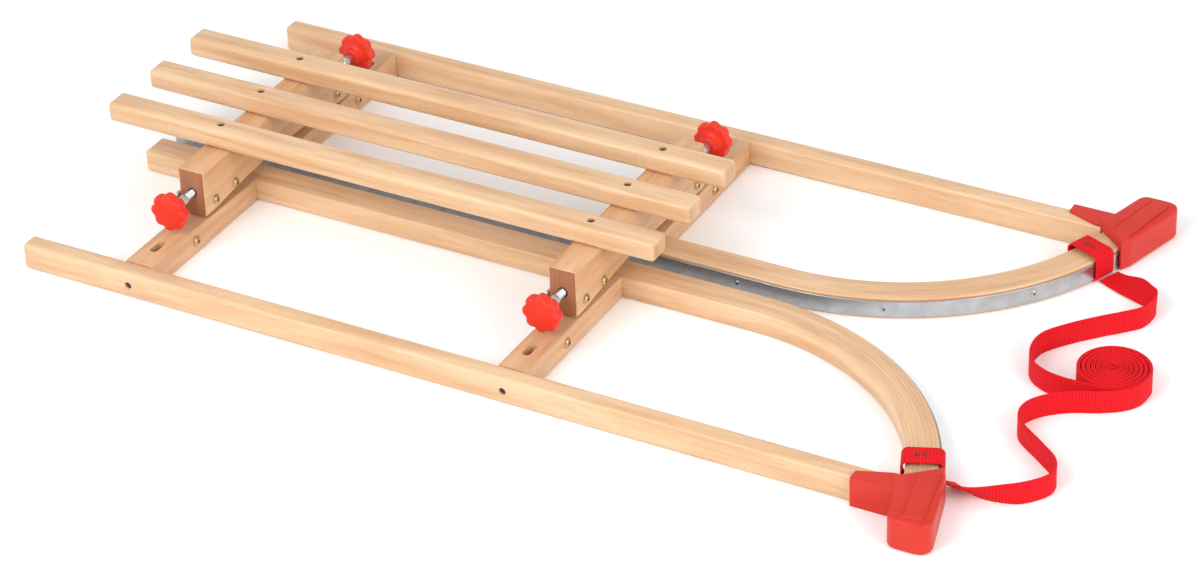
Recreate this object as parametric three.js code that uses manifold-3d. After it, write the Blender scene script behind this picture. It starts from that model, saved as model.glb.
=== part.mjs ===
// A folding wooden toboggan, lying folded flat: a slatted seat between two hinged side frames.
// Millimetres, +Z up, +X towards the horns, -Y the right side. The origin is on the floor,
// under the middle of the sled's length and width.
import * as THREE from "three";
import { mergeVertices } from "three/addons/utils/BufferGeometryUtils.js";
import Module from "manifold-3d";

const wasm = await Module();
wasm.setup();

// Driving dimensions. Lengths along the sled are counted from the rails' rear ends.
const ORIGIN_X = 521;
const GAP = 0.3;

const SLAT = { start: -4, end: 642, width: 29, thick: 22, top: 105, pitch: 77, edge: 4.5 };
const BEAM = { centres: [128.5, 565.5], deep: 31, half: 138.5, foot: 29.3, crown: 38.5, haunch: 120 };
const RAIL = { inner: 243, outer: 264, height: 29, end: 980, edge: 4 };
const UPRIGHT = { inner: 45.8, outer: 242.7, low: 24, slotMargin: 12 };
const SLOT = { centre: 207.5, length: 21, width: 8.8 };
const PIVOT = { side: 161, height: 14, shaft: 8, head: 12, tail: 3 };
const PLATE = { thick: 2.5, width: 22, tailSide: 72, boltSides: [82.5, 120], boltHeight: 42 };
const PLATE_BOLT = { shaft: 5, head: 11, tail: 3 };
const RUNNER = { rear: 4, inner: 13, outer: 45.5, height: 24, edge: 2.5, tail: 52 };
const BEND = { start: 726, centre: 309, degrees: 76, steps: 14 };
const SHOE = { thick: 1.5, low: 3, high: 21, clear: 0.3, tail: 2 };
const CAP = { height: 34, round: 3, panel: 1, wingStart: 940, wingSide: 269.5, wall: 3, tipSide: 314 };
// The right side's star screws are turned in further than the left side's.
const STAR = { height: 56, bolt: 8, depth: 30, knobThick: 14, knob: 43, lobes: 8, dip: 1.6, edge: 2.5 };
const KNOB_INNER = { right: 173, left: 182 };
const SCREW = { head: 8, shank: 4, length: 40, headDeep: 3 };
const STRAP = { width: 25, thick: 2, floor: 0.3 };
const LOOP = { angle: 68, slackAbove: 5, slackBeside: 1.2, edge: 3, floor: 0.1 };
const ROLL = { x: 1086, y: 18, radius: 34 };

// The strap's two free strands, each from its horn's loop to the roll, as a person laid them.
const LEFT_STRAND = [
  [1008, 200], [1032, 187], [1059, 170], [1074, 160], [1073, 132], [1058, 113], [1041, 96],
  [1018, 70], [1001, 44], [1000, 18], [1010, -4], [1029, -16], [1051, -20], [1070, -19.5], [1085, -19],
];
const RIGHT_STRAND = [
  [1123, 23], [1121, 2], [1110, -14], [1091, -27], [1064, -40], [1043, -58], [1033, -79], [1040, -103],
  [1073, -129], [1096, -149], [1101, -172], [1084, -196], [1060, -203], [1040, -204], [1016, -204],
];

// Colours and finishes.
const wood = { color: 0xd9b384, roughness: 0.5, metalness: 0 };
const steel = { color: 0xb9bcbf, roughness: 0.35, metalness: 1 };
const brass = { color: 0xc9a55a, roughness: 0.3, metalness: 1 };
const dark = { color: 0x3b3a3c, roughness: 0.5, metalness: 0.8 };
const plastic = { color: 0xd8321c, roughness: 0.4, metalness: 0 };
const webbing = { color: 0xa3202c, roughness: 0.9, metalness: 0 };

const sled = new THREE.Group();
sled.position.x = -ORIGIN_X;

function addPiece(name, geometry, finish) {
  const piece = new THREE.Mesh(geometry, new THREE.MeshStandardMaterial(finish));
  piece.name = name;
  sled.add(piece);
}

// Joins and cuts.
function toSolid(geometry) {
  const bare = geometry.clone();
  bare.deleteAttribute("normal");
  bare.deleteAttribute("uv");
  const merged = mergeVertices(bare, 1e-4);
  const vertProperties = new Float32Array(merged.attributes.position.array);
  const triVerts = new Uint32Array(merged.index.array);
  return new wasm.Manifold(new wasm.Mesh({ numProp: 3, vertProperties, triVerts }));
}

function toGeometry(solid) {
  const mesh = solid.getMesh();
  const geometry = new THREE.BufferGeometry();
  geometry.setAttribute("position", new THREE.BufferAttribute(new Float32Array(mesh.vertProperties), 3));
  geometry.setIndex(new THREE.BufferAttribute(new Uint32Array(mesh.triVerts), 1));
  geometry.computeVertexNormals();
  return geometry;
}

function cut(geometry, tools) {
  let solid = toSolid(geometry);
  for (const tool of tools) solid = solid.subtract(toSolid(tool));
  return toGeometry(solid);
}

function join(geometries) {
  let solid = toSolid(geometries[0]);
  for (const other of geometries.slice(1)) solid = solid.add(toSolid(other));
  return toGeometry(solid);
}

// Extrusions. An outline is a list of [across, up] points, or a ready THREE.Shape.
function asShape(outline) {
  if (outline instanceof THREE.Shape) return outline;
  return new THREE.Shape(outline.map(([a, b]) => new THREE.Vector2(a, b)));
}

function slabAlongX(outlineYZ, from, to) {
  const slab = new THREE.ExtrudeGeometry(asShape(outlineYZ), {
    depth: to - from, bevelEnabled: false, curveSegments: 3,
  });
  const turn = new THREE.Matrix4().makeBasis(
    new THREE.Vector3(0, 1, 0), new THREE.Vector3(0, 0, 1), new THREE.Vector3(1, 0, 0));
  return slab.applyMatrix4(turn).translate(from, 0, 0);
}

function slabAlongZ(outlineXY, from, to, round = 0, curveSegments = 6) {
  const slab = new THREE.ExtrudeGeometry(asShape(outlineXY), {
    depth: to - from - 2 * round, bevelEnabled: round > 0, bevelThickness: round, bevelSize: round,
    bevelOffset: -round, bevelSegments: 2, curveSegments,
  });
  return slab.translate(0, 0, from + round);
}

function slabAlongY(outlineXZ, from, to, round = 0) {
  const slab = new THREE.ExtrudeGeometry(asShape(outlineXZ), {
    depth: to - from - 2 * round, bevelEnabled: round > 0, bevelThickness: round, bevelSize: round,
    bevelOffset: -round, bevelSegments: 1, curveSegments: 4,
  });
  return slab.rotateX(Math.PI / 2).translate(0, to - round, 0);
}

function roundedBox(acrossFrom, acrossTo, upFrom, upTo, radius) {
  const shape = new THREE.Shape();
  shape.absarc(acrossTo - radius, upFrom + radius, radius, -Math.PI / 2, 0);
  shape.absarc(acrossTo - radius, upTo - radius, radius, 0, Math.PI / 2);
  shape.absarc(acrossFrom + radius, upTo - radius, radius, Math.PI / 2, Math.PI);
  shape.absarc(acrossFrom + radius, upFrom + radius, radius, Math.PI, Math.PI * 1.5);
  return shape;
}

// Turned pieces. A profile is [radius, height] pairs from the axis back to the axis.
const TURN_SEGMENTS = 12;

function turned(profile) {
  return new THREE.LatheGeometry(profile.map(([r, h]) => new THREE.Vector2(r, h)), TURN_SEGMENTS);
}

function rod(diameter, from, to) {
  const radius = diameter / 2;
  return turned([[0, from], [radius, from], [radius, to], [0, to]]);
}

function countersunk(grow = 0) {
  const head = SCREW.head / 2 + grow;
  const shank = SCREW.shank / 2 + grow;
  return turned([
    [0, -SCREW.length - grow], [shank, -SCREW.length - grow], [shank, -SCREW.headDeep - grow],
    [head, -grow * 0.5], [head, grow], [0, grow],
  ]);
}

function domedBolt(shaft, head, length, tail) {
  const radius = shaft / 2;
  const rim = head / 2;
  return turned([
    [0, -length - tail], [rim * 0.8, -length - tail], [rim * 0.8, -length], [radius, -length], [radius, 0],
    [rim, 0], [rim * 0.92, rim * 0.3], [rim * 0.6, rim * 0.52], [0, rim * 0.6],
  ]);
}

// A turned piece's own +Y axis laid along +X, +Z or out of one side.
const pointX = (geometry) => geometry.rotateZ(-Math.PI / 2);
const pointZ = (geometry) => geometry.rotateX(Math.PI / 2);
const pointOut = (geometry, side) => (side > 0 ? geometry : geometry.rotateZ(Math.PI));

// Seat.
function slatScrewPlaces() {
  const places = [];
  for (const x of BEAM.centres) {
    for (const y of [-SLAT.pitch, 0, SLAT.pitch]) places.push([x, y]);
  }
  return places;
}

function buildSlats() {
  const names = ["seat_slat_right", "seat_slat_middle", "seat_slat_left"];
  const half = SLAT.width / 2;
  names.forEach((name, i) => {
    const y = (i - 1) * SLAT.pitch;
    const section = roundedBox(y - half, y + half, SLAT.top - SLAT.thick, SLAT.top, SLAT.edge);
    const sinks = BEAM.centres.map((x) => pointZ(countersunk(GAP)).translate(x, y, SLAT.top));
    addPiece(name, cut(slabAlongX(section, SLAT.start, SLAT.end), sinks), wood);
  });
}

function buildSlatScrews() {
  const sides = { [-SLAT.pitch]: "right", 0: "middle", [SLAT.pitch]: "left" };
  for (const [x, y] of slatScrewPlaces()) {
    const end = x === BEAM.centres[0] ? "rear" : "front";
    addPiece(`slat_screw_${end}_${sides[y]}`, pointZ(countersunk()).translate(x, y, SLAT.top), dark);
  }
}

function beamOutline() {
  const top = SLAT.top - SLAT.thick - GAP;
  const shape = new THREE.Shape();
  shape.moveTo(-BEAM.half, BEAM.foot);
  shape.lineTo(-BEAM.haunch, BEAM.foot + 1);
  shape.quadraticCurveTo(0, 2 * BEAM.crown - BEAM.foot - 1, BEAM.haunch, BEAM.foot + 1);
  shape.lineTo(BEAM.half, BEAM.foot);
  shape.lineTo(BEAM.half, top - 2);
  shape.lineTo(BEAM.half - 2, top);
  shape.lineTo(2 - BEAM.half, top);
  shape.lineTo(-BEAM.half, top - 2);
  return shape;
}

function buildBeam(name, x) {
  const front = x + BEAM.deep / 2;
  const holes = [];
  for (const y of [-SLAT.pitch, 0, SLAT.pitch]) {
    holes.push(pointZ(rod(SCREW.shank + 2 * GAP, -SCREW.length - GAP, 0)).translate(x, y, SLAT.top));
  }
  for (const side of [-1, 1]) {
    const starHole = rod(STAR.bolt + 2 * GAP, BEAM.half - STAR.depth - GAP, BEAM.half + 1);
    holes.push(pointOut(starHole, side).translate(x, 0, STAR.height));
    for (const y of PLATE.boltSides) {
      const boltHole = pointX(rod(PLATE_BOLT.shaft + 2 * GAP, -BEAM.deep - 1, 1));
      holes.push(boltHole.translate(front, side * y, PLATE.boltHeight));
    }
  }
  addPiece(name, cut(slabAlongX(beamOutline(), x - BEAM.deep / 2, front), holes), wood);
}

// Hinge plates, with the bolts that hold them to the beams.
function plateOutline(side) {
  const low = PLATE.boltHeight - PLATE.width / 2;
  const high = PLATE.boltHeight + PLATE.width / 2;
  const eye = (across, up) => [PIVOT.side + across, PIVOT.height + up];
  const outline = [
    [PLATE.tailSide, low], eye(-33, low - PIVOT.height), eye(-18, 8), eye(-8, -8), eye(3, -10.5),
    eye(10, -4), eye(10.5, 4), eye(5, 13), eye(-11, 32), eye(-19, high - PIVOT.height),
    [PLATE.tailSide, high],
  ];
  return outline.map(([y, z]) => [side * y, z]);
}

function buildHinge(end, x, side, sideName) {
  const rear = x - BEAM.deep / 2;
  const front = x + BEAM.deep / 2;
  const plateBack = rear - GAP - PLATE.thick;
  const boltLength = front - plateBack + GAP;
  const plateHole = (shaft) => pointX(rod(shaft + 2 * GAP, -2 * PLATE.thick, PLATE.thick));
  const holes = [plateHole(PIVOT.shaft).translate(rear, side * PIVOT.side, PIVOT.height)];
  PLATE.boltSides.forEach((y, i) => {
    holes.push(plateHole(PLATE_BOLT.shaft).translate(rear, side * y, PLATE.boltHeight));
    const bolt = domedBolt(PLATE_BOLT.shaft, PLATE_BOLT.head, boltLength + GAP, PLATE_BOLT.tail);
    const where = i === 0 ? "inner" : "outer";
    const placed = pointX(bolt).translate(front + GAP, side * y, PLATE.boltHeight);
    addPiece(`hinge_bolt_${end}_${sideName}_${where}`, placed, brass);
  });
  const plate = slabAlongX(plateOutline(side), plateBack, rear - GAP);
  addPiece(`hinge_plate_${end}_${sideName}`, cut(plate, holes), steel);
}

// Star screws: a threaded bolt in the beam's end, with a lobed knob.
function buildStarScrew(end, x, side, sideName) {
  const knobInner = KNOB_INNER[sideName];
  const bolt = rod(STAR.bolt, BEAM.half - STAR.depth, knobInner - GAP);
  addPiece(`star_bolt_${end}_${sideName}`, pointOut(bolt, side).translate(x, 0, STAR.height), steel);

  const lobed = new THREE.Shape();
  const steps = STAR.lobes * 6;
  for (let i = 0; i < steps; i += 1) {
    const angle = (i / steps) * Math.PI * 2;
    const reach = STAR.knob / 2 - STAR.dip + STAR.dip * Math.cos(angle * STAR.lobes);
    const [across, up] = [reach * Math.cos(angle), reach * Math.sin(angle)];
    if (i === 0) lobed.moveTo(across, up);
    else lobed.lineTo(across, up);
  }
  const disc = slabAlongY(lobed, 0, STAR.knobThick, STAR.edge);
  addPiece(`star_knob_${end}_${sideName}`,
    pointOut(disc.translate(0, knobInner, 0), side).translate(x, 0, STAR.height), plastic);
}

// Side frames.
function buildRail(side, sideName) {
  const edges = [side * RAIL.inner, side * RAIL.outer].sort((a, b) => a - b);
  const section = roundedBox(edges[0], edges[1], 0, RAIL.height, RAIL.edge);
  const sinks = BEAM.centres.map((x) => pointOut(countersunk(GAP).translate(0, RAIL.outer, 0), side)
    .translate(x, 0, PIVOT.height));
  addPiece(`${sideName}_rail`, cut(slabAlongX(section, 0, RAIL.end), sinks), wood);
  BEAM.centres.forEach((x, i) => {
    const screw = pointOut(countersunk().translate(0, RAIL.outer, 0), side).translate(x, 0, PIVOT.height);
    addPiece(`${sideName}_rail_screw_${i === 0 ? "rear" : "front"}`, screw, dark);
  });
}

function buildUpright(end, x, side, sideName) {
  const outline = [
    [UPRIGHT.inner, 0], [UPRIGHT.outer, 0], [UPRIGHT.outer, RAIL.height],
    [SLOT.centre - UPRIGHT.slotMargin, RAIL.height], [UPRIGHT.inner, UPRIGHT.low],
  ].map(([y, z]) => [side * y, z]);
  const [rear, front] = [x - BEAM.deep / 2, x + BEAM.deep / 2];
  const half = SLOT.width / 2;
  const slotMiddle = side * SLOT.centre;
  const slotOutline = roundedBox(
    x - half, x + half, slotMiddle - SLOT.length / 2, slotMiddle + SLOT.length / 2, half - 0.01);
  const slot = slabAlongZ(slotOutline, -1, RAIL.height + 1);
  const pivotHole = pointX(rod(PIVOT.shaft + 2 * GAP, -BEAM.deep - 1, 1))
    .translate(front, side * PIVOT.side, PIVOT.height);
  const screwHole = pointOut(rod(SCREW.shank + 2 * GAP, RAIL.outer - SCREW.length - GAP, RAIL.outer), side)
    .translate(x, 0, PIVOT.height);
  const bar = slabAlongX(outline, rear, front);
  addPiece(`${sideName}_${end}_upright`, cut(bar, [slot, pivotHole, screwHole]), wood);
  const plateDeep = PLATE.thick + 2 * GAP;
  const bolt = pointX(domedBolt(PIVOT.shaft, PIVOT.head, BEAM.deep + plateDeep + GAP, PIVOT.tail));
  addPiece(`${sideName}_${end}_pivot`, bolt.translate(front + GAP, side * PIVOT.side, PIVOT.height), brass);
}

// A band that follows the runner: straight, then round the bend, then straight on into the horn.
// soleOffset and railOffset are the distances of its two long edges from the runner's inner line.
function runnerOutline(side, soleOffset, railOffset, rear, tail) {
  const bend = THREE.MathUtils.degToRad(BEND.degrees);
  const edge = (offset) => {
    const radius = BEND.centre - offset;
    const points = [[rear, offset]];
    for (let i = 0; i <= BEND.steps; i += 1) {
      const angle = (bend * i) / BEND.steps;
      points.push([BEND.start + radius * Math.sin(angle), BEND.centre - radius * Math.cos(angle)]);
    }
    const [x, y] = points[points.length - 1];
    points.push([x + tail * Math.cos(bend), y + tail * Math.sin(bend)]);
    return points;
  };
  const outline = [...edge(soleOffset), ...edge(railOffset).reverse()];
  return outline.map(([x, y]) => [x, side * y]);
}

function buildRunner(side, sideName) {
  const woodOutline = runnerOutline(side, RUNNER.inner, RUNNER.outer, RUNNER.rear, RUNNER.tail);
  addPiece(`${sideName}_runner`, slabAlongZ(woodOutline, 0, RUNNER.height, RUNNER.edge), wood);
  const near = RUNNER.inner - SHOE.clear;
  const shoe = runnerOutline(side, near - SHOE.thick, near, RUNNER.rear, SHOE.tail);
  addPiece(`${sideName}_runner_shoe`, slabAlongZ(shoe, SHOE.low, SHOE.high), steel);
}

// Horn cap: a moulded horn over the ends of the runner and the rail.
function capBody(side) {
  const shape = new THREE.Shape();
  shape.moveTo(1013, side * 217);
  shape.lineTo(1019.5, side * 228);
  shape.quadraticCurveTo(1029, side * 262, 1038, side * 294);
  shape.quadraticCurveTo(1042, side * 305, 1035, side * 311);
  shape.quadraticCurveTo(1031, side * CAP.tipSide, 1023, side * CAP.tipSide);
  shape.lineTo(1006, side * CAP.tipSide);
  shape.quadraticCurveTo(998, side * CAP.tipSide, 995, side * (CAP.tipSide - 9));
  shape.lineTo(985, side * CAP.wingSide);
  shape.lineTo(974, side * 250);
  return slabAlongZ(shape, 0, CAP.height, CAP.round, 4);
}

function capWing(side) {
  const wing = [
    [CAP.wingStart, 256], [CAP.wingStart, CAP.wingSide], [1000, CAP.wingSide], [1000, 243.5], [974, 243.5],
  ].map(([x, y]) => [x, side * y]);
  return slabAlongZ(wing, 0, RAIL.height + CAP.wall);
}

// A raised panel along the middle of the horn's top.
function capPanel(side) {
  const panel = [[991, 242], [1004, 231], [1015, 229.5], [1030, 303], [1009, 306]];
  return slabAlongZ(panel.map(([x, y]) => [x, side * y]), CAP.height - 2, CAP.height + CAP.panel);
}

function buildHornCap(side, sideName) {
  const whole = join([capBody(side), capWing(side), capPanel(side)]);
  const railRoom = [
    [CAP.wingStart - 5, RAIL.inner - GAP], [CAP.wingStart - 5, RAIL.outer + GAP],
    [RAIL.end + GAP, RAIL.outer + GAP], [RAIL.end + GAP, RAIL.inner - GAP],
  ].map(([x, y]) => [x, side * y]);
  const woodRoom = runnerOutline(
    side, RUNNER.inner - GAP, RUNNER.outer + GAP, BEND.start, RUNNER.tail + GAP);
  const shoeRoom = runnerOutline(
    side, RUNNER.inner - SHOE.clear - SHOE.thick - GAP, RUNNER.inner + 1, BEND.start, 2 * SHOE.tail);
  addPiece(`${sideName}_horn_cap`, cut(whole, [
    slabAlongZ(railRoom, -1, RAIL.height + GAP),
    slabAlongZ(woodRoom, -1, RUNNER.height + GAP),
    slabAlongZ(shoeRoom, -1, SHOE.high + GAP),
  ]), plastic);
}

// Strap: a loop round each runner, a free strand from each loop, and the rolled-up rest.
function ribbonOutline(points, thick) {
  const curve = new THREE.CatmullRomCurve3(points.map(([x, y]) => new THREE.Vector3(x, y, 0)));
  const count = 44;
  const sides = [[], []];
  for (let i = 0; i <= count; i += 1) {
    const at = curve.getPointAt(i / count);
    const along = curve.getTangentAt(i / count);
    sides[0].push([at.x - along.y * thick / 2, at.y + along.x * thick / 2]);
    sides[1].push([at.x + along.y * thick / 2, at.y - along.x * thick / 2]);
  }
  return [...sides[0], ...sides[1].reverse()];
}

function buildStrand(name, points) {
  const outline = ribbonOutline(points, STRAP.thick);
  addPiece(name, slabAlongZ(outline, STRAP.floor, STRAP.floor + STRAP.width), webbing);
}

function buildLoop(side, sideName) {
  const angle = THREE.MathUtils.degToRad(LOOP.angle);
  const radius = BEND.centre - (RUNNER.inner + RUNNER.outer) / 2;
  const x = BEND.start + radius * Math.sin(angle);
  const y = BEND.centre - radius * Math.cos(angle);
  const halfWide = (RUNNER.outer - RUNNER.inner) / 2 + SHOE.clear + SHOE.thick + LOOP.slackBeside;
  const top = RUNNER.height + LOOP.slackAbove;
  const outer = roundedBox(
    -halfWide - STRAP.thick, halfWide + STRAP.thick, LOOP.floor, top + STRAP.thick, LOOP.edge);
  const inner = roundedBox(-halfWide, halfWide, -STRAP.thick, top, LOOP.edge - 1);
  const half = STRAP.width / 2;
  const band = cut(slabAlongX(outer, -half, half), [slabAlongX(inner, -2 * half, 2 * half)]);
  addPiece(`${sideName}_strap_loop`, band.rotateZ(side * angle).translate(x, side * y, 0), webbing);
}

function buildRoll() {
  const shape = new THREE.Shape();
  shape.absarc(ROLL.x, ROLL.y, ROLL.radius, 0, Math.PI * 2);
  addPiece("strap_roll", slabAlongZ(shape, STRAP.floor, STRAP.floor + STRAP.width, 0, 12), webbing);
}

// Assembly.
buildSlats();
buildSlatScrews();
BEAM.centres.forEach((x, i) => {
  const end = i === 0 ? "rear" : "front";
  buildBeam(`${end}_beam`, x);
  for (const [side, sideName] of [[-1, "right"], [1, "left"]]) {
    buildHinge(end, x, side, sideName);
    buildStarScrew(end, x, side, sideName);
    buildUpright(end, x, side, sideName);
  }
});
for (const [side, sideName] of [[-1, "right"], [1, "left"]]) {
  buildRail(side, sideName);
  buildRunner(side, sideName);
  buildHornCap(side, sideName);
  buildLoop(side, sideName);
}
buildStrand("right_strap_strand", RIGHT_STRAND);
buildStrand("left_strap_strand", LEFT_STRAND);
buildRoll();

export default sled;
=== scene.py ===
"""A folding wooden toboggan, lying folded flat: its looks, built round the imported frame."""
import math

import bmesh
import bpy
from mathutils import Matrix, Vector


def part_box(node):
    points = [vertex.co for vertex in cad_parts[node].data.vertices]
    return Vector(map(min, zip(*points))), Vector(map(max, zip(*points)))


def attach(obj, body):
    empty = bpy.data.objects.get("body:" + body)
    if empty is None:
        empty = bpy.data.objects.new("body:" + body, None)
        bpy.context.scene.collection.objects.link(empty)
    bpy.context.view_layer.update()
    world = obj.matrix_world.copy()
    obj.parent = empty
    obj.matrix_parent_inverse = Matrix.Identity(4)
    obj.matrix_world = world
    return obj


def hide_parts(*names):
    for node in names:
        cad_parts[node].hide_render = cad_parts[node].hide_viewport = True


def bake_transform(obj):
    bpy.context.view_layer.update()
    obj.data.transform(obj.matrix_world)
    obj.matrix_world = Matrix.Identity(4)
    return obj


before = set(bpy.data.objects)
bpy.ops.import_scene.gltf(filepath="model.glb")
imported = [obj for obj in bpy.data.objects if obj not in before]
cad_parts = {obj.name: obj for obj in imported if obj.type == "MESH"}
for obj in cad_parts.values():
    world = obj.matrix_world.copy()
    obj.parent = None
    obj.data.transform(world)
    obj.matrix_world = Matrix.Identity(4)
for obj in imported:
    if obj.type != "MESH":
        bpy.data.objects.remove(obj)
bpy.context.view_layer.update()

MM = 0.001
SIDES = {"right": -1, "left": 1}
ENDS = ("rear", "front")
CAMERA = {
    "lens": 119.53, "sensor": 36, "place": (2.2254, -3.0033, 2.1829), "roll": math.radians(-2),
    "right": (0.8708, 0.4917, 0), "ahead": (-0.4140, 0.7332, -0.5395), "far": 60,
}
FLOOR = {"size": 40, "drop": 0.4 * MM, "white": 0.97}
WORLD_STRENGTH = 0.78
# Each area light's place, target, size and watts.
LIGHTS = {
    "key": ((-0.6, -2.5, 2.1), (0, 0, 0), 1.8, 58),
    "fill": ((3.4, -1.0, 1.7), (0.2, 0, 0), 2.5, 68),
}

# Lengths along the sled are counted from the rails' rear ends, as the CAD counts them.
ORIGIN_X = 521 * MM
BEND = {"start": 726 * MM - ORIGIN_X, "centre": 309 * MM, "angle": math.radians(76)}
RUNNER = {
    "rear": 4 * MM - ORIGIN_X, "inner": 13 * MM, "outer": 45.5 * MM, "height": 24 * MM, "tail": 50 * MM,
    "layer": 4.1 * MM,
}
SHOE = {"thick": 1.5 * MM, "clear": 0.3 * MM, "low": 3 * MM, "high": 21 * MM, "screws": (682, 835, 958)}
BEAM = {"haunch_height": 30.3 * MM, "crown": 38.5 * MM, "haunch": 120 * MM}
SLOT = {"centre": 207.5 * MM, "length": 21 * MM, "width": 8.8 * MM, "margin": 12 * MM}
HINGE = {"bolt": 5 * MM, "pivot": 8 * MM, "past_beam": 3.2 * MM}
STAR = {"lobes": 8, "bolt": 7.9 * MM, "in_beam": 3 * MM, "before_knob": 5 * MM}
THREAD = {"pitch": 1.25 * MM, "depth": 0.62 * MM}
STRAP = {"width": 25 * MM, "thick": 2 * MM, "edge": 0.7 * MM, "low": 0.3 * MM, "upright_after": 85 * MM}
LOOP = {
    "angle": math.radians(68), "slack_above": 5 * MM, "slack_beside": 5.5 * MM, "corner": 6.5 * MM,
    "low": 0.1 * MM, "rivets": (-6 * MM, 2 * MM),
}
# The left arm turns less than the right one, so that the two start opposite each other at the core.
ROLL = {
    "x": 1086 * MM - ORIGIN_X, "y": 18 * MM, "core": 4.2 * MM, "thick": 1.95 * MM,
    "left_turns": 6.87549, "right_turns": 7.1,
}
CAP = {
    "panel_top": 35 * MM, "weld": 0.02 * MM, "voxel": 0.6 * MM, "kept_faces": 0.22,
    "rib": (1.6 * MM, 1.8 * MM),
}
# How far each bar's long edges are rounded, and then its ends.
ROUNDING = {
    "slat": (5 * MM, 3.6 * MM), "beam": (2 * MM, 1.2 * MM), "rail": (4 * MM, 2.2 * MM),
    "upright": (1.8 * MM, 0.5 * MM), "runner": (2.6 * MM, 2.4 * MM), "shoe": (0.6 * MM, 0.5 * MM),
    "rib": (0.5 * MM, 0.4 * MM), "slot": (SLOT["width"] / 2 - 0.02 * MM, 0.1 * MM),
}
# Edges sharper than this stay crisp.
CRISP = math.radians(40)

# The strap's free strands, in millimetres, close to the CAD's. The left one runs from its loop to
# the roll, and the right one from the roll to its loop.
LEFT_STRAND = [
    (1008, 200), (1032, 187), (1059, 170), (1074, 160), (1073, 132), (1058, 113), (1041, 96),
    (1018, 70), (1001, 44), (1000, 18), (1010, -4), (1029, -16), (1051, -20), (1070, -19.5), (1085, -19),
]
RIGHT_STRAND = [
    (1123, 23), (1121, 2), (1110, -14), (1091, -27), (1064, -40), (1043, -58), (1033, -79), (1040, -103),
    (1073, -129), (1096, -149), (1101, -172), (1084, -196), (1062, -208), (1042, -212.5), (1025, -210),
    (1010, -204.5),
]
# The horn cap's top panel: its two long edges, each from the runner's side to the tip.
CAP_RIBS = {"inner": ((1015, 229.5), (1030, 303)), "outer": ((995, 241), (1010, 305))}

# How far each strand lies over, away from standing on its edge, where it leaves its loop.
STRAND_LEAN = {"left": math.radians(86), "right": math.radians(-57)}


# ---------------------------------------------------------------- camera, floor and light

def add_camera():
    """The camera stands to the right of the horns and looks down along the folded sled."""
    camera = bpy.data.objects.new("camera", bpy.data.cameras.new("camera"))
    bpy.context.collection.objects.link(camera)
    camera.data.lens = CAMERA["lens"]
    camera.data.sensor_width = CAMERA["sensor"]
    camera.data.clip_end = CAMERA["far"]
    right = Vector(CAMERA["right"]).normalized()
    ahead = Vector(CAMERA["ahead"]).normalized()
    up = right.cross(ahead)
    roll = CAMERA["roll"]
    across = math.cos(roll) * right + math.sin(roll) * up
    upward = math.cos(roll) * up - math.sin(roll) * right
    turn = Matrix((across, upward, -ahead)).transposed().to_4x4()
    camera.matrix_world = Matrix.Translation(Vector(CAMERA["place"]) - Vector((ORIGIN_X, 0, 0))) @ turn
    bpy.context.scene.camera = camera


def add_floor():
    bpy.ops.mesh.primitive_plane_add(size=FLOOR["size"], location=(0, 0, -FLOOR["drop"]))
    floor = bpy.context.object
    floor.name = "floor"
    floor.data.materials.append(plain_material("floor", (FLOOR["white"],) * 3, 0.9))


def add_area_light(name, place, target, size, watts):
    lamp = bpy.data.lights.new(name, "AREA")
    lamp.shape = "DISK"
    lamp.size = size
    lamp.energy = watts
    holder = bpy.data.objects.new(name, lamp)
    bpy.context.collection.objects.link(holder)
    holder.location = place
    aim = Vector(target) - Vector(place)
    holder.rotation_euler = aim.to_track_quat("-Z", "Y").to_euler()


def add_light():
    bpy.context.scene.view_settings.view_transform = "Standard"
    world = bpy.data.worlds.new("studio")
    bpy.context.scene.world = world
    world.use_nodes = True
    background = world.node_tree.nodes["Background"]
    background.inputs["Color"].default_value = (1, 1, 1, 1)
    background.inputs["Strength"].default_value = WORLD_STRENGTH
    for name, light in LIGHTS.items():
        add_area_light(name, *light)


# ---------------------------------------------------------------- materials

def srgb(red, green, blue):
    """A colour read off as 0 to 255 display values, as linear light."""
    shares = (value / 255 for value in (red, green, blue))
    return tuple(share / 12.92 if share < 0.04 else ((share + 0.055) / 1.055) ** 2.4 for share in shares)


def plain_material(name, colour, roughness, metallic=0.0):
    material = bpy.data.materials.new(name)
    material.use_nodes = True
    shader = material.node_tree.nodes["Principled BSDF"]
    shader.inputs["Base Color"].default_value = (*colour, 1)
    shader.inputs["Roughness"].default_value = roughness
    shader.inputs["Metallic"].default_value = metallic
    return material


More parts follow.
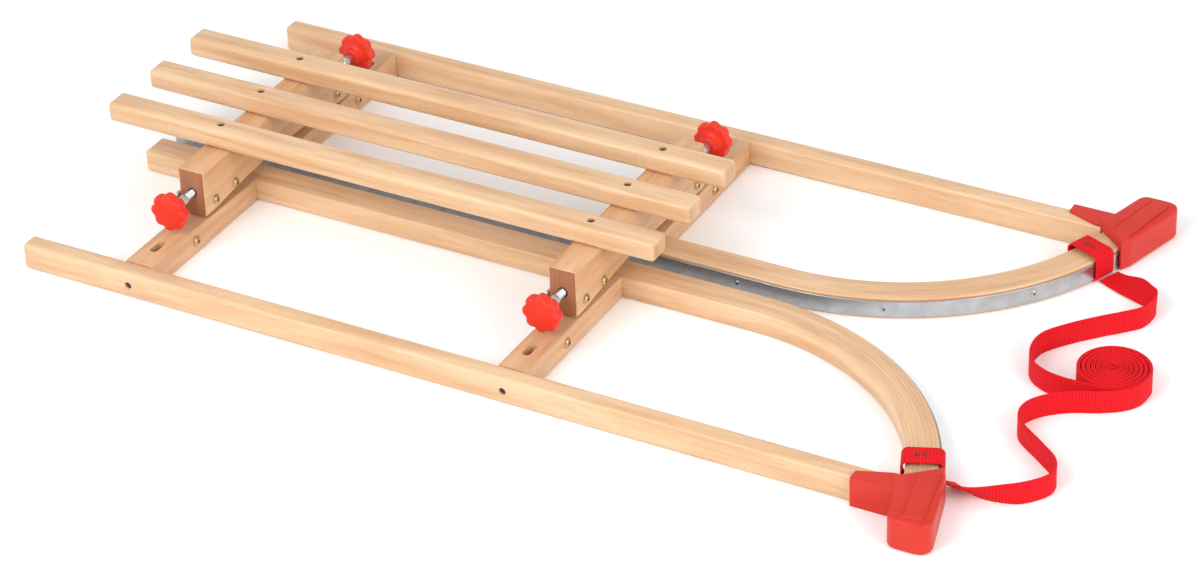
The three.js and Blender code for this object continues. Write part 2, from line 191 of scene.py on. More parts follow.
class Nodes:
    """A short way to build one material's node tree."""

    def __init__(self, name, colour, roughness, metallic=0.0):
        self.material = plain_material(name, colour, roughness, metallic)
        self.tree = self.material.node_tree
        self.shader = self.tree.nodes["Principled BSDF"]

    def add(self, kind, **inputs):
        node = self.tree.nodes.new(kind)
        for key, value in inputs.items():
            node.inputs[key.replace("_", " ")].default_value = value
        return node

    def link(self, source, target):
        self.tree.links.new(source, target)

    def coordinates(self, kind, scale):
        """Object or UV coordinates, stretched, and shifted by each piece's own random number."""
        source = self.tree.nodes.new("ShaderNodeTexCoord")
        piece_info = self.tree.nodes.new("ShaderNodeObjectInfo")
        shifted = self.tree.nodes.new("ShaderNodeVectorMath")
        shifted.operation = "ADD"
        self.link(source.outputs[kind], shifted.inputs[0])
        shift = self.tree.nodes.new("ShaderNodeCombineXYZ")
        self.link(piece_info.outputs["Random"], shift.inputs["X"])
        self.link(piece_info.outputs["Random"], shift.inputs["Y"])
        self.link(shift.outputs["Vector"], shifted.inputs[1])
        mapping = self.add("ShaderNodeMapping", Scale=scale)
        self.link(shifted.outputs["Vector"], mapping.inputs["Vector"])
        return mapping.outputs["Vector"]

    def noise(self, vector, scale, detail=3.0, roughness=0.5, distortion=0.0):
        node = self.add(
            "ShaderNodeTexNoise", Scale=scale, Detail=detail, Roughness=roughness, Distortion=distortion)
        self.link(vector, node.inputs["Vector"])
        return node.outputs["Fac"]

    def ramp(self, value, stops):
        node = self.tree.nodes.new("ShaderNodeValToRGB")
        elements = node.color_ramp.elements
        while len(elements) < len(stops):
            elements.new(0.5)
        for element, (position, colour) in zip(elements, stops):
            element.position = position
            element.color = (*colour, 1)
        self.link(value, node.inputs["Fac"])
        return node.outputs["Color"]

    def mix(self, factor, first, second, blend="MIX"):
        node = self.tree.nodes.new("ShaderNodeMix")
        node.data_type = "RGBA"
        node.blend_type = blend
        for socket, value in ((node.inputs[0], factor), (node.inputs[6], first), (node.inputs[7], second)):
            if isinstance(value, bpy.types.NodeSocket):
                self.link(value, socket)
            elif isinstance(value, tuple):
                socket.default_value = (*value, 1)
            else:
                socket.default_value = value
        return node.outputs[2]

    def math(self, operation, value, other):
        node = self.tree.nodes.new("ShaderNodeMath")
        node.operation = operation
        self.link(value, node.inputs[0])
        node.inputs[1].default_value = other
        return node.outputs[0]

    def bump(self, height, strength, distance):
        node = self.add("ShaderNodeBump", Strength=strength, Distance=distance)
        self.link(height, node.inputs["Height"])
        self.link(node.outputs["Normal"], self.shader.inputs["Normal"])


BEECH_LIGHT = srgb(224, 189, 150)
BEECH_DARK = srgb(203, 156, 112)
BEECH_FLECK = srgb(176, 124, 84)
ZINC_GREYS = ((0.56, 0.57, 0.58), (0.62, 0.63, 0.64), (0.68, 0.69, 0.70))


def beech_material(name, tint=(1.0, 1.0, 1.0), laminated=False):
    """Lacquered beech. The map's u runs along the grain and v round the section, in metres."""
    nodes = Nodes(name, BEECH_LIGHT, 0.42)
    slow = nodes.noise(nodes.coordinates("UV", (5, 60, 1)), 1.0, 4, 0.6, 0.4)
    fine = nodes.noise(nodes.coordinates("UV", (24, 900, 1)), 1.0, 3, 0.6)
    fleck = nodes.noise(nodes.coordinates("UV", (260, 1500, 1)), 1.0, 1, 0.5)
    tone = nodes.ramp(slow, [(0.32, BEECH_DARK), (0.62, BEECH_LIGHT)])
    grain = nodes.ramp(fine, [(0.35, (0.86, 0.82, 0.78)), (0.6, (1.0, 1.0, 1.0))])
    colour = nodes.mix(0.55, tone, grain, "MULTIPLY")
    flecks = nodes.ramp(fleck, [(0.66, (0, 0, 0)), (0.72, (1, 1, 1))])
    fleck_amount = nodes.mix(1.0, flecks, (0.55, 0.55, 0.55), "MULTIPLY")
    colour = nodes.mix(fleck_amount, colour, BEECH_FLECK)
    if laminated:
        colour = add_glue_lines(nodes, colour)
    colour = nodes.mix(1.0, colour, tint, "MULTIPLY")
    nodes.link(colour, nodes.shader.inputs["Base Color"])
    nodes.shader.inputs["Coat Weight"].default_value = 0.25
    nodes.shader.inputs["Coat Roughness"].default_value = 0.25
    nodes.bump(fine, 0.12, 0.0003)
    return nodes.material


def add_glue_lines(nodes, colour):
    """Thin darker lines along the runner, one between each two layers it is bent from."""
    half_line, strength = 0.28 * MM, 0.5
    source = nodes.tree.nodes.new("ShaderNodeAttribute")
    source.attribute_name = "across"
    to_line = nodes.math("PINGPONG", source.outputs["Fac"], RUNNER["layer"] / 2)
    line = nodes.math("LESS_THAN", to_line, half_line)
    return nodes.mix(nodes.math("MULTIPLY", line, strength), colour, srgb(178, 122, 82))


def plastic_material(name, dim):
    """Moulded red plastic. dim below 1 darkens it."""
    tones = [tuple(dim * c for c in colour) for colour in (srgb(222, 44, 24), srgb(232, 54, 33))]
    nodes = Nodes(name, tones[0], 0.4)
    grain = nodes.noise(nodes.coordinates("Object", (1, 1, 1)), 1400, 2)
    nodes.bump(grain, 0.08, 0.0002)
    cloud = nodes.noise(nodes.coordinates("Object", (1, 1, 1)), 25, 2)
    nodes.link(nodes.ramp(cloud, [(0.3, tones[0]), (0.7, tones[1])]), nodes.shader.inputs["Base Color"])
    nodes.shader.inputs["Specular IOR Level"].default_value = 0.35
    return nodes.material


def zinc_material(name, bright):
    """Galvanised steel with a faint spangle. bright below 1 darkens it."""
    dull, plain, shiny = (tuple(bright * c for c in grey) for grey in ZINC_GREYS)
    nodes = Nodes(name, plain, 0.34, 1.0)
    spangle = nodes.noise(nodes.coordinates("Object", (1, 1, 1)), 70, 3, 0.5)
    nodes.link(nodes.ramp(spangle, [(0.3, dull), (0.7, shiny)]), nodes.shader.inputs["Base Color"])
    roughness = nodes.ramp(spangle, [(0.3, (0.42,) * 3), (0.7, (0.25,) * 3)])
    nodes.link(roughness, nodes.shader.inputs["Roughness"])
    return nodes.material


def brass_material():
    nodes = Nodes("brass", (0.60, 0.44, 0.20), 0.3, 1.0)
    tarnish = nodes.noise(nodes.coordinates("Object", (1, 1, 1)), 500, 3)
    nodes.link(nodes.ramp(tarnish, [(0.35, (0.42, 0.29, 0.12)), (0.65, (0.66, 0.50, 0.25))]),
               nodes.shader.inputs["Base Color"])
    return nodes.material


def dark_screw_material():
    nodes = Nodes("dark_screw", (0.10, 0.085, 0.075), 0.42, 0.9)
    wear = nodes.noise(nodes.coordinates("Object", (1, 1, 1)), 900, 3)
    nodes.link(nodes.ramp(wear, [(0.4, (0.07, 0.06, 0.055)), (0.7, (0.20, 0.17, 0.14))]),
               nodes.shader.inputs["Base Color"])
    return nodes.material


def webbing_material():
    """Woven ribs across the strap, and a fine weave along it. u runs along the strap, v across."""
    nodes = Nodes("webbing", srgb(214, 22, 34), 0.72)
    source = nodes.tree.nodes.new("ShaderNodeTexCoord")
    ribs = nodes.tree.nodes.new("ShaderNodeTexWave")
    ribs.inputs["Scale"].default_value = 1.0
    stretch = nodes.add("ShaderNodeMapping", Scale=(100, 0, 0))
    nodes.link(source.outputs["UV"], stretch.inputs["Vector"])
    nodes.link(stretch.outputs["Vector"], ribs.inputs["Vector"])
    weave = nodes.noise(nodes.coordinates("UV", (900, 2600, 1)), 1.0, 2)
    height = nodes.mix(0.3, ribs.outputs["Color"], weave)
    nodes.bump(height, 0.9, 0.0009)
    # The colour follows the same height as the bump: the low parts of the ribs and weave are painted darker,
    # painted shade in the weave's hollows.
    colour = nodes.ramp(height, [(0.1, srgb(196, 4, 16)), (0.6, srgb(226, 16, 30))])
    nodes.link(colour, nodes.shader.inputs["Base Color"])
    nodes.shader.inputs["Specular IOR Level"].default_value = 0.2
    return nodes.material


# ---------------------------------------------------------------- mesh building

def link_mesh(name, mesh, material):
    piece = bpy.data.objects.new(name, mesh)
    bpy.context.collection.objects.link(piece)
    mesh.materials.append(material)
    return piece


def grid_mesh(name, rings, material, us, vs, acrosses=None):
    """A closed skin over rings of points, with flat ends. us and vs are the map's values in metres."""
    count = len(rings[0])
    shell = bmesh.new()
    uv = shell.loops.layers.uv.new("map")
    across = shell.verts.layers.float.new("across")
    verts = [[shell.verts.new(point) for point in ring] for ring in rings]
    if acrosses:
        for ring, values in zip(verts, acrosses):
            for vert, value in zip(ring, values):
                vert[across] = value
    for i in range(len(rings) - 1):
        for j in range(count):
            k = (j + 1) % count
            face = shell.faces.new((verts[i][j], verts[i][k], verts[i + 1][k], verts[i + 1][j]))
            corners = ((us[i], vs[j]), (us[i], vs[j + 1]), (us[i + 1], vs[j + 1]), (us[i + 1], vs[j]))
            for loop, corner in zip(face.loops, corners):
                loop[uv].uv = corner
    for ring, u in ((verts[0], us[0]), (verts[-1], us[-1])):
        face = shell.faces.new(ring)
        middle = sum((vert.co for vert in ring), Vector()) / count
        for loop in face.loops:
            offset = loop.vert.co - middle
            loop[uv].uv = (u + 0.02 * offset.z, offset.x + offset.y)
    bmesh.ops.recalc_face_normals(shell, faces=shell.faces)
    mesh = bpy.data.meshes.new(name)
    shell.to_mesh(mesh)
    shell.free()
    mesh.shade_smooth()
    piece = link_mesh(name, mesh, material)
    sharpen(piece)
    return piece


def sharpen(piece):
    """Smooth shading, with the sharper edges left crisp."""
    piece.data.set_sharp_from_angle(angle=CRISP)


def rounded_section(width, height, radius, inset=0.0, steps=5):
    """Points round a rounded rectangle about the origin, drawn in all round by inset."""
    points = []
    for turn, (side_a, side_b) in enumerate(((1, -1), (1, 1), (-1, 1), (-1, -1))):
        centre_a = side_a * (width / 2 - radius)
        centre_b = side_b * (height / 2 - radius)
        for step in range(steps + 1):
            angle = (turn - 1 + step / steps) * math.pi / 2
            reach = max(radius - inset, 0.05 * MM)
            points.append((centre_a + reach * math.cos(angle), centre_b + reach * math.sin(angle)))
    return points


def girth(section):
    """Running length round a section, from its first point back to it."""
    lengths = [0.0]
    for i, (a, b) in enumerate(section):
        next_a, next_b = section[(i + 1) % len(section)]
        lengths.append(lengths[-1] + math.hypot(next_a - a, next_b - b))
    return lengths


def stations(length, end_round, pitch, steps=4):
    """(distance, inset) pairs along a bar whose two ends are rounded off."""
    ends = []
    for step in range(steps + 1):
        angle = step / steps * math.pi / 2
        ends.append((end_round * (1 - math.cos(angle)), end_round * (1 - math.sin(angle))))
    count = max(2, round((length - 2 * end_round) / pitch))
    middle = [(end_round + (length - 2 * end_round) * i / count, 0.0) for i in range(1, count)]
    far = [(length - distance, inset) for distance, inset in reversed(ends)]
    return ends + middle + far


def bar(name, place, size_at, rounding, length, material, pitch=0.08, end_material=None):
    """A bar swept along place(distance), which gives its middle, across and up directions there."""
    radius, end_round = rounding
    rings, acrosses, us = [], [], []
    for distance, inset in stations(length, end_round, pitch):
        middle, across, up = place(distance)
        width, height = size_at(distance)
        section = rounded_section(width, height, radius, inset)
        rings.append([middle + across * a + up * b for a, b in section])
        acrosses.append([a + width / 2 for a, _ in section])
        us.append(distance)
    vs = girth(rounded_section(*size_at(length / 2), radius))
    piece = grid_mesh(name, rings, material, us, vs, acrosses)
    if end_material:
        piece.data.materials.append(end_material)
        for face in piece.data.polygons[-2:]:
            face.material_index = 1
    return piece


def turned(name, profile, place, axis, material, segments=32, lobes=0):
    """A piece turned about axis. The profile's points are (radius, height, how lobed), in metres."""
    up = Vector(axis).normalized()
    side = up.orthogonal().normalized()
    other = up.cross(side)
    rings = []
    for radius, height, lobed in profile:
        ring = []
        for i in range(segments):
            angle = 2 * math.pi * i / segments
            reach = radius * (1 - lobed * (0.5 - 0.5 * math.cos(lobes * angle)) ** 1.6)
            spoke = side * math.cos(angle) + other * math.sin(angle)
            ring.append(Vector(place) + up * height + spoke * reach)
        rings.append(ring)
    around = [2 * math.pi * profile[len(profile) // 2][0] * i / segments for i in range(segments + 1)]
    return grid_mesh(name, rings, material, [height for _, height, _ in profile], around)


def in_mm(rows):
    """A turned piece's profile, written in millimetres, as metres. Its third number has no unit."""
    return [(radius * MM, height * MM, lobed) for radius, height, lobed in rows]


def carve(piece, cutters):
    """Cuts the cutters out of the piece, and removes them."""
    for cutter in cutters:
        modifier = piece.modifiers.new("carve", "BOOLEAN")
        modifier.object = cutter
        modifier.operation = "DIFFERENCE"
        modifier.solver = "EXACT"
    bake_modifiers(piece)
    for cutter in cutters:
        bpy.data.objects.remove(cutter)


def bake_modifiers(piece):
    graph = bpy.context.evaluated_depsgraph_get()
    mesh = bpy.data.meshes.new_from_object(piece.evaluated_get(graph))
    piece.modifiers.clear()
    piece.data = mesh


HOLE_PROFILE = in_mm([(2.05, -3.4, 0), (4.1, -1.6, 0), (4.1, 1, 0)])


def screw_hole(place, axis, material):
    """A cutter for a countersunk screw's hole, which opens along axis."""
    return turned("hole", HOLE_PROFILE, place, axis, material, 24)


def straight(start, along, across, up):
    """A place function for a straight bar."""
    return lambda distance: (Vector(start) + Vector(along) * distance, Vector(across), Vector(up))


def node_middle(node):
    """A CAD node's middle, size, and lowest and highest corners."""
    low, high = (Vector(corner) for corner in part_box(node))
    return (low + high) / 2, high - low, low, high


# ---------------------------------------------------------------- seat

def build_slats(wood, end_wood):
    for side in ("right", "middle", "left"):
        node = f"seat_slat_{side}"
        middle, size, low, _ = node_middle(node)
        place = straight((low.x, middle.y, middle.z), (1, 0, 0), (0, 1, 0), (0, 0, 1))
        piece = bar(f"slat_{side}", place, lambda _: (size.y, size.z), ROUNDING["slat"], size.x, wood,
                    end_material=end_wood)
        holes = []
        for end in ENDS:
            spot, _, _, head = node_middle(f"slat_screw_{end}_{side}")
            holes.append(screw_hole((spot.x, spot.y, head.z), (0, 0, 1), end_wood))
        carve(piece, holes)
        sharpen(piece)
        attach(piece, "seat")
        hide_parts(node)


def beam_underside(y):
    """The beam's underside is arched between its two haunches."""
    rise = BEAM["crown"] - BEAM["haunch_height"]
    return BEAM["haunch_height"] + rise * max(0.0, 1 - (y / BEAM["haunch"]) ** 2)


def build_beams(wood, end_wood):
    for end in ENDS:
        node = f"{end}_beam"
        middle, size, low, high = node_middle(node)

        def size_at(distance):
            return size.x, high.z - beam_underside(low.y + distance)

        def place(distance):
            under = beam_underside(low.y + distance)
            spot = Vector((middle.x, low.y + distance, (high.z + under) / 2))
            return spot, Vector((-1, 0, 0)), Vector((0, 0, 1))

        piece = bar(f"{end}_cross_beam", place, size_at, ROUNDING["beam"], size.y, wood, 0.012, end_wood)
        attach(piece, "seat")
        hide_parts(node)


# A countersunk screw with a cross recess. Its head lies 1.7 mm below the wood's surface, height 0.
SCREW_PROFILE = in_mm([
    (1.2, -13.7, 0), (1.9, -6.1, 0), (3.8, -2.3, 0), (3.8, -1.8, 0), (3.6, -1.7, 0), (2.3, -1.7, 0.5),
    (2.1, -2.0, 0.62), (1.6, -3.3, 0.6), (0.6, -3.9, 0.2),
])


def build_screws(material):
    for end in ENDS:
        for side in ("right", "middle", "left"):
            node = f"slat_screw_{end}_{side}"
            middle, _, _, high = node_middle(node)
            finish_screw(node, (middle.x, middle.y, high.z), (0, 0, 1), "seat", material)
        for side, sign in SIDES.items():
            node = f"{side}_rail_screw_{end}"
            middle, size, _, _ = node_middle(node)
            face = middle.y + sign * size.y / 2
            finish_screw(node, (middle.x, face, middle.z), (0, sign, 0), f"{side}_frame", material)


def finish_screw(node, place, axis, body, material):
    piece = turned(f"{node}_head", SCREW_PROFILE, place, axis, material, 40, 4)
    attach(piece, body)
    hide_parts(node)


# ---------------------------------------------------------------- hinges and star screws

def bolt_profile(head, length, shaft):
    """A low domed head with a washer and a hexagon recess, a shaft, and a small nut at the tail."""
    rim = head / 2
    nut = [(0.45 * rim, -length - 2.8 * MM, 0), (0.8 * rim, -length - 2.4 * MM, 0), (0.8 * rim, -length, 0)]
    dome = [
        (rim, 0, 0), (rim, 0.5 * MM, 0), (0.86 * rim, 0.8 * MM, 0), (0.82 * rim, 1.5 * MM, 0),
        (0.66 * rim, 2.5 * MM, 0), (0.44 * rim, 2.9 * MM, 0), (0.38 * rim, 2.7 * MM, 0.1),
        (0.36 * rim, 1.3 * MM, 0.14),
    ]
    return [*nut, (shaft / 2, -length, 0), (shaft / 2, 0, 0), *dome]


def build_hinge_bolts(brass, zinc):
    for end in ENDS:
        _, beam_size, _, beam_high = node_middle(f"{end}_beam")
        length = beam_size.x + HINGE["past_beam"]
        for side in SIDES:
            nodes = [
                (f"hinge_bolt_{end}_{side}_{where}", "seat", HINGE["bolt"]) for where in ("inner", "outer")]
            nodes.append((f"{side}_{end}_pivot", f"{side}_frame", HINGE["pivot"]))
            for node, body, shaft in nodes:
                middle, size, _, _ = node_middle(node)
                profile = bolt_profile(size.z, length, shaft)
                place = (beam_high.x, middle.y, middle.z)
                piece = turned(f"{node}_head", profile, place, (1, 0, 0), brass, 36, 6)
                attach(piece, body)
                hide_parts(node)
            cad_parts[f"hinge_plate_{end}_{side}"].data.materials[0] = zinc


def thread_rings(place, axis, start, length, major, segments=18):
    """Rings of a rolled thread: the surface climbs one pitch for each turn."""
    pitch, depth = THREAD["pitch"], THREAD["depth"]
    up = Vector(axis)
    side = up.orthogonal().normalized()
    other = up.cross(side)
    count = round(length / (pitch / 6))
    rings = []
    for i in range(count + 1):
        height = start + length * i / count
        ring = []
        for j in range(segments):
            turn = j / segments
            phase = (height / pitch - turn) % 1
            reach = major / 2 - depth * (1 - abs(2 * phase - 1))
            angle = 2 * math.pi * turn
            spoke = side * math.cos(angle) + other * math.sin(angle)
            ring.append(Vector(place) + up * height + spoke * reach)
        rings.append(ring)
    return rings


# From the bolt's side out: a boss, then the lobed disc with soft edges and a domed front.
KNOB_PROFILE = in_mm([
    (5, -8, 0), (7.6, -8, 0), (8.6, -7.2, 0), (9.2, -1.5, 0), (11.5, 0.2, 0.02), (16, 0.8, 0.08),
    (19.6, 1.2, 0.12), (20.4, 2.2, 0.14), (21.0, 4.4, 0.15), (21.0, 9.2, 0.15), (20.5, 11.4, 0.145),
    (19.4, 12.6, 0.13), (17, 13.2, 0.1), (12.6, 13.5, 0.05), (8, 13.8, 0.01), (3, 14, 0),
])
COLLAR_PROFILE = in_mm([(4.6, -21, 0), (5.2, -20.4, 0), (5.2, -8, 0), (4.6, -7, 0)])
INSERT_PROFILE = in_mm([(5.7, -3, 0), (5.7, 0.2, 0), (5.5, 0.35, 0), (4.7, 0.35, 0), (4.4, 0.1, 0)])


def build_star_bolt(end, side, place, axis, start, length, zinc):
    """The map's steps are about as long as the steps between the rings and round them."""
    body = f"{end}_{side}_star_screw"
    rings = thread_rings(place, axis, start, length, STAR["bolt"])
    us = [i * 0.2 * MM for i in range(len(rings))]
    vs = [i * 1.4 * MM for i in range(len(rings[0]) + 1)]
    bolt = grid_mesh(f"{body}_bolt", rings, zinc, us, vs)
    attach(bolt, body)
    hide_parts(f"star_bolt_{end}_{side}")


def build_star_screw(end, side, plastic, zinc, dark):
    body = f"{end}_{side}_star_screw"
    axis = (0, SIDES[side], 0)
    middle, _, low, high = node_middle(f"star_knob_{end}_{side}")
    inner = min(abs(low.y), abs(high.y))
    knob_place = (middle.x, SIDES[side] * inner, middle.z)
    knob = turned(f"{body}_knob", KNOB_PROFILE, knob_place, axis, plastic, 128, STAR["lobes"])
    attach(knob, body)
    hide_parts(f"star_knob_{end}_{side}")
    beam_end = node_middle(f"{end}_beam")[3].y
    start = beam_end - STAR["in_beam"]
    length = inner - STAR["before_knob"] - start
    build_star_bolt(end, side, (middle.x, 0, middle.z), axis, start, length, zinc)
    collar = turned(f"{body}_collar", COLLAR_PROFILE, knob_place, axis, zinc, 28)
    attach(collar, body)
    insert_place = (middle.x, SIDES[side] * beam_end, middle.z)
    insert = turned(f"{body}_insert", INSERT_PROFILE, insert_place, axis, dark, 28)
    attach(insert, "seat")


# ---------------------------------------------------------------- side frames

def runner_place(side, offset, height, rear):
    """A place function along the runner at this offset from the sled's middle: straight, bend, straight.

    The length that comes with it ends where the bend ends."""
    sign = SIDES[side]
    radius = BEND["centre"] - offset
    level = BEND["start"] - rear
    arc = radius * BEND["angle"]

    def place(distance):
        if distance < level:
            angle, spare = 0.0, distance - level
        elif distance < level + arc:
            angle, spare = (distance - level) / radius, 0.0
        else:
            angle, spare = BEND["angle"], distance - level - arc
        x = BEND["start"] + radius * math.sin(angle) + spare * math.cos(angle)
        y = BEND["centre"] - radius * math.cos(angle) + spare * math.sin(angle)
        across = Vector((math.sin(angle), -math.cos(angle) * sign, 0))
        return Vector((x, y * sign, height)), -across, Vector((0, 0, 1))

    return place, level + arc


def build_runner(side, wood):
    middle_offset = (RUNNER["inner"] + RUNNER["outer"]) / 2
    wide = RUNNER["outer"] - RUNNER["inner"]
    place, length = runner_place(side, middle_offset, RUNNER["height"] / 2, RUNNER["rear"])
    runner = bar(f"{side}_bent_runner", place, lambda _: (wide, RUNNER["height"]), ROUNDING["runner"],
                 length + RUNNER["tail"], wood, 0.011)
    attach(runner, f"{side}_frame")
    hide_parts(f"{side}_runner")


def build_shoe(side, zinc, screw):
    offset = RUNNER["inner"] - SHOE["clear"] - SHOE["thick"] / 2
    tall = SHOE["high"] - SHOE["low"]
    place, length = runner_place(side, offset, (SHOE["high"] + SHOE["low"]) / 2, RUNNER["rear"])
    shoe = bar(f"{side}_shoe", place, lambda _: (SHOE["thick"], tall), ROUNDING["shoe"], length, zinc, 0.011)
    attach(shoe, f"{side}_frame")
    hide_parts(f"{side}_runner_shoe")
    add_shoe_screws(side, place, zinc, screw)


def distance_at(place, x):
    """How far along a runner's line its x is reached."""
    low, high = 0.0, 1.4
    for _ in range(40):
        middle = (low + high) / 2
        if place(middle)[0].x < x:
            low = middle
        else:
            high = middle
    return low


SHOE_SCREW_RIM = in_mm([(3.4, -0.5, 0), (3.4, 0.3, 0), (2.9, 0.7, 0), (1.4, 0.7, 0)])
# The recess is its own piece in the dark screw material: painted shade inside the zinc screw's cross recess.
SHOE_SCREW_SHADED_RECESS = in_mm([(1.7, -0.3, 0), (1.7, 0.75, 0.4), (0.9, 0.72, 0.4)])


def add_shoe_screws(side, place, zinc, dark):
    for number, x in enumerate(SHOE["screws"]):
        middle, inward, _ = place(distance_at(place, x * MM - ORIGIN_X))
        spot = middle - inward * SHOE["thick"] / 2
        # Each screw is a zinc rim and a dark recess, the recess painted shade.
        parts = (("rim", SHOE_SCREW_RIM, zinc), ("recess", SHOE_SCREW_SHADED_RECESS, dark))
        for part, profile, material in parts:
            piece = turned(f"{side}_shoe_screw_{part}_{number}", profile, spot, -inward, material, 32, 4)
            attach(piece, f"{side}_frame")


def build_rail(side, wood, end_wood):
    middle, size, low, _ = node_middle(f"{side}_rail")
    place = straight((low.x, middle.y, middle.z), (1, 0, 0), (0, 1, 0), (0, 0, 1))
    rail = bar(f"{side}_side_rail", place, lambda _: (size.y, size.z), ROUNDING["rail"], size.x, wood,
               end_material=end_wood)
    holes = []
    for end in ENDS:
        spot, span, _, _ = node_middle(f"{side}_rail_screw_{end}")
        face = spot.y + SIDES[side] * span.y / 2
        holes.append(screw_hole((spot.x, face, spot.z), (0, SIDES[side], 0), wood))
    carve(rail, holes)
    sharpen(rail)
    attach(rail, f"{side}_frame")
    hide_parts(f"{side}_rail")


def build_uprights(side, wood):
    sign = SIDES[side]
    taper_end = SLOT["centre"] - SLOT["margin"]
    for end in ENDS:
        node = f"{side}_{end}_upright"
        middle, size, low, high = node_middle(node)
        inner = min(abs(low.y), abs(high.y))

        def height_at(distance):
            share = min(1.0, distance / (taper_end - inner))
            return RUNNER["height"] + (size.z - RUNNER["height"]) * share

        def place(distance):
            spot = Vector((middle.x, sign * (inner + distance), height_at(distance) / 2))
            return spot, Vector((1, 0, 0)), Vector((0, 0, 1))

        def size_at(distance):
            return size.x, height_at(distance)

        piece = bar(f"{node}_bar", place, size_at, ROUNDING["upright"], size.y, wood, 0.03)
        slot_place = straight((middle.x, sign * SLOT["centre"], -5 * MM), (0, 0, 1), (1, 0, 0), (0, 1, 0))
        slot_size = (SLOT["width"], SLOT["length"])
        cutter = bar("slot", slot_place, lambda _: slot_size, ROUNDING["slot"], 45 * MM, wood)
        carve(piece, [cutter])
        sharpen(piece)
        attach(piece, f"{side}_frame")
        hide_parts(node)


def build_cap(side, plastic):
    """The CAD's horn cap with every edge rounded off, as a moulding has, and its ribs."""
    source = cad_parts[f"{side}_horn_cap"]
    mesh = source.data.copy()
    mesh.materials.clear()
    piece = link_mesh(f"{side}_horn", mesh, plastic)
    weld = piece.modifiers.new("weld", "WELD")
    weld.merge_threshold = CAP["weld"]
    remesh = piece.modifiers.new("remesh", "REMESH")
    remesh.mode = "VOXEL"
    remesh.voxel_size = CAP["voxel"]
    smooth = piece.modifiers.new("smooth", "SMOOTH")
    smooth.factor = 0.5
    smooth.iterations = 1
    thin = piece.modifiers.new("thin", "DECIMATE")
    thin.ratio = CAP["kept_faces"]
    bake_modifiers(piece)
    piece.data.shade_smooth()
    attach(piece, f"{side}_frame")
    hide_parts(f"{side}_horn_cap")
    add_cap_ribs(side, plastic)


def add_cap_ribs(side, plastic):
    for which, edge in CAP_RIBS.items():
        start, end = (
            Vector((x * MM - ORIGIN_X, SIDES[side] * y * MM, CAP["panel_top"])) for x, y in edge)
        along = (end - start).normalized()
        place = straight(start, along, along.cross(Vector((0, 0, 1))), (0, 0, 1))
        rib = bar(f"{side}_horn_rib_{which}", place, lambda _: CAP["rib"], ROUNDING["rib"],
                  (end - start).length, plastic)
        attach(rib, f"{side}_frame")


# ---------------------------------------------------------------- strap

def catmull(points, share):
    """A point on the smooth line through points, share from 0 to 1 of the way along."""
    spans = len(points) - 1
    at = min(share * spans, spans - 1e-9)
    i = int(at)
    t = at - i
    before = points[max(i - 1, 0)]
    start, end = points[i], points[i + 1]
    after = points[min(i + 2, spans)]
    return tuple(
        0.5 * (2 * b + (c - a) * t + (2 * a - 5 * b + 4 * c - d) * t * t + (3 * b - a - 3 * c + d) * t ** 3)
        for a, b, c, d in zip(before, start, end, after))


def even_line(points, pitch):
    """The same line as points, with a point every pitch."""
    lengths = [0.0]
    for a, b in zip(points, points[1:]):
        lengths.append(lengths[-1] + math.dist(a, b))
    count = max(2, round(lengths[-1] / pitch))
    line, i = [], 0
    for step in range(count + 1):
        target = lengths[-1] * step / count
        while i < len(points) - 2 and lengths[i + 1] < target:
            i += 1
        share = (target - lengths[i]) / (lengths[i + 1] - lengths[i])
        line.append(tuple(a + (b - a) * share for a, b in zip(points[i], points[i + 1])))
    return line, lengths[-1]


def ribbon(name, line, length, material, thick, lean=0.0):
    """Webbing on its edge along a line of (x, y) points. It lies over by lean at its first end."""
    rings, us, middles = [], [], []
    section = rounded_section(thick, STRAP["width"], STRAP["edge"], steps=3)
    for i, (x, y) in enumerate(line):
        before, after = line[max(i - 1, 0)], line[min(i + 1, len(line) - 1)]
        along = Vector((after[0] - before[0], after[1] - before[1], 0)).normalized()
        across = Vector((-along.y, along.x, 0))
        distance = length * i / (len(line) - 1)
        share = max(0.0, 1 - distance / STRAP["upright_after"])
        tilt = lean * share * share * (3 - 2 * share)
        up = Vector((0, 0, math.cos(tilt))) + across * math.sin(tilt)
        flat = across * math.cos(tilt) - Vector((0, 0, math.sin(tilt)))
        half_high = (thick * abs(math.sin(tilt)) + STRAP["width"] * math.cos(tilt)) / 2
        middle = Vector((x, y, STRAP["low"] + half_high))
        middles.append(middle)
        rings.append([middle + flat * a + up * b for a, b in section])
        us.append(distance)
    piece = grid_mesh(name, rings, material, us, girth(section))
    return piece, middles


def strand_line(points):
    fine = [catmull(points, i / 400) for i in range(401)]
    metres = [(x * MM - ORIGIN_X, y * MM) for x, y in fine]
    return even_line(metres, 2.5 * MM)


def roll_arm(end_point, turns):
    """One of the two layers that are wound together, from the core out to its strand's end."""
    out_x = end_point[0] * MM - ORIGIN_X - ROLL["x"]
    out_y = end_point[1] * MM - ROLL["y"]
    reach, end_angle = math.hypot(out_x, out_y), math.atan2(out_y, out_x)
    steps = 480
    points = []
    for i in range(steps + 1):
        share = i / steps
        angle = end_angle + 2 * math.pi * turns * (1 - share)
        radius = ROLL["core"] + (reach - ROLL["core"]) * share
        points.append((ROLL["x"] + radius * math.cos(angle), ROLL["y"] + radius * math.sin(angle)))
    return points


def roll_line():
    """Two arms wound together from an S in the middle, clockwise outwards, to where the strands join."""
    left = roll_arm(LEFT_STRAND[-1], ROLL["left_turns"])
    right = roll_arm(RIGHT_STRAND[0], ROLL["right_turns"])
    return even_line(left[::-1] + right, 1.8 * MM)


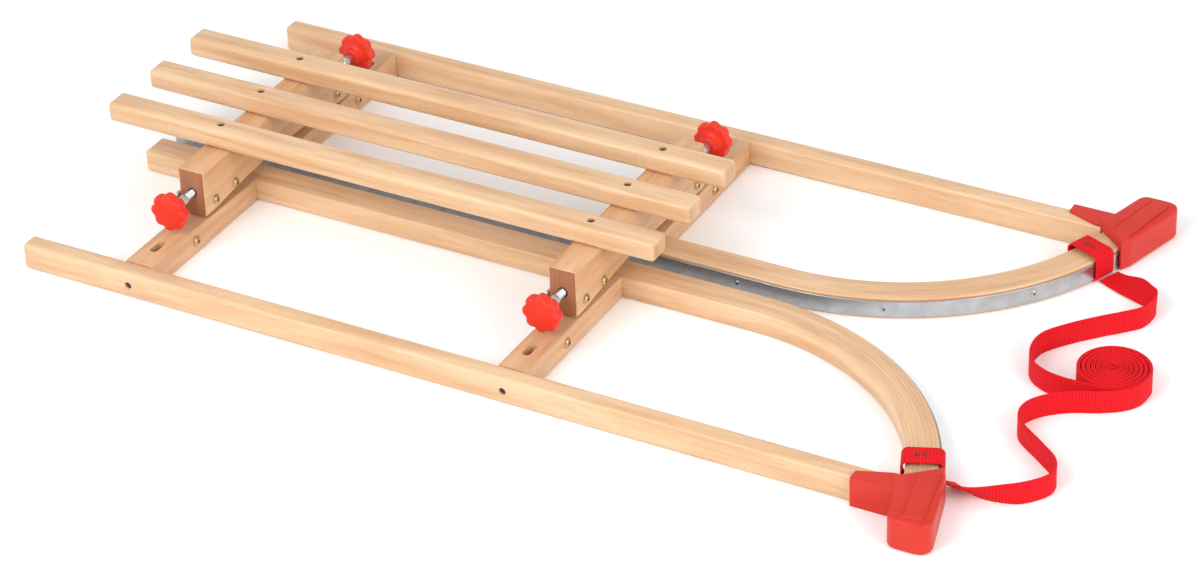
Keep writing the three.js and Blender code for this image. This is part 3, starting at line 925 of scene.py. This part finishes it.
def build_strap(webbing):
    roll_points, roll_length = roll_line()
    roll, _ = ribbon("rolled_strap", roll_points, roll_length, webbing, ROLL["thick"])
    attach(roll, "seat")
    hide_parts("strap_roll")
    for side, points in (("left", LEFT_STRAND), ("right", RIGHT_STRAND[::-1])):
        line, length = strand_line(points)
        strand, middles = ribbon(f"{side}_strand", line, length, webbing, STRAP["thick"], STRAND_LEAN[side])
        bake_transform(strand)
        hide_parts(f"{side}_strap_strand")


def loop_axes(side):
    """Where the runner's middle line passes the loop, on the floor, and the ways across and along it."""
    sign, angle = SIDES[side], LOOP["angle"]
    radius = BEND["centre"] - (RUNNER["inner"] + RUNNER["outer"]) / 2
    x = BEND["start"] + radius * math.sin(angle)
    y = BEND["centre"] - radius * math.cos(angle)
    across = Vector((math.sin(angle), -sign * math.cos(angle), 0))
    along = Vector((math.cos(angle), sign * math.sin(angle), 0))
    return Vector((x, sign * y, 0)), across, along


RIVET_PROFILE = in_mm([(2.1, -1, 0), (2.1, 0.2, 0), (1.7, 0.5, 0), (1.1, 0.4, 0), (0.8, 0.1, 0)])


def build_loop(side, webbing, dark):
    """Webbing round the runner just behind the horn, with its riveted end on top."""
    centre, across, along = loop_axes(side)
    wide = RUNNER["outer"] - RUNNER["inner"] + LOOP["slack_beside"] + STRAP["thick"]
    high = RUNNER["height"] + LOOP["slack_above"]
    outline = rounded_section(wide, high, LOOP["corner"])
    section = rounded_section(STRAP["thick"], STRAP["width"], STRAP["edge"], steps=3)
    lift = (high + STRAP["thick"]) / 2 + LOOP["low"]
    rings = []
    for a, b in outline:
        outward = Vector((a, b)).normalized()
        middle = centre + across * a + Vector((0, 0, b + lift))
        thick = across * outward.x + Vector((0, 0, outward.y))
        rings.append([middle + thick * p + along * q for p, q in section])
    rings.append([point.copy() for point in rings[0]])
    piece = grid_mesh(f"{side}_loop", rings, webbing, girth(outline), girth(section))
    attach(piece, f"{side}_frame")
    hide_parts(f"{side}_strap_loop")
    top = Vector((0, 0, high + STRAP["thick"] + LOOP["low"]))
    for number, shift in enumerate(LOOP["rivets"]):
        spot = centre + across * shift + top
        rivet = turned(f"{side}_loop_rivet_{number}", RIVET_PROFILE, spot, (0, 0, 1), dark, 20)
        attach(rivet, f"{side}_frame")


# ---------------------------------------------------------------- assembly

def build_all():
    webbing = webbing_material()
    add_camera()
    build_strap(webbing)
    wood = beech_material("beech")
    pink_wood = beech_material("beech_pinkish", (0.93, 0.84, 0.78))
    bent_wood = beech_material("beech_laminated", laminated=True)
    # The beam ends' tint is the end grain's own darker, redder tone together with painted shade round the
    # star screws.
    end_wood = beech_material("beech_end_grain_painted_shade", (0.54, 0.36, 0.29))
    plastic = plastic_material("red_plastic", 0.93)
    # The caps get a dimmer copy of the knobs' red plastic, 0.72 against 0.93: painted shade on the caps.
    shaded_cap_plastic = plastic_material("red_plastic_cap_painted_shade", 0.72)
    zinc = zinc_material("zinc", 1.0)
    shoe_zinc = zinc_material("zinc_shoe", 0.78)
    brass = brass_material()
    dark = dark_screw_material()
    build_slats(wood, pink_wood)
    build_beams(pink_wood, end_wood)
    build_screws(dark)
    build_hinge_bolts(brass, zinc)
    for end in ENDS:
        for side in SIDES:
            build_star_screw(end, side, plastic, zinc, dark)
    for side in SIDES:
        build_rail(side, wood, pink_wood)
        build_uprights(side, pink_wood)
        build_runner(side, bent_wood)
        build_shoe(side, shoe_zinc, dark)
        build_cap(side, shaded_cap_plastic)
        build_loop(side, webbing, dark)
    add_floor()
    add_light()


build_all()
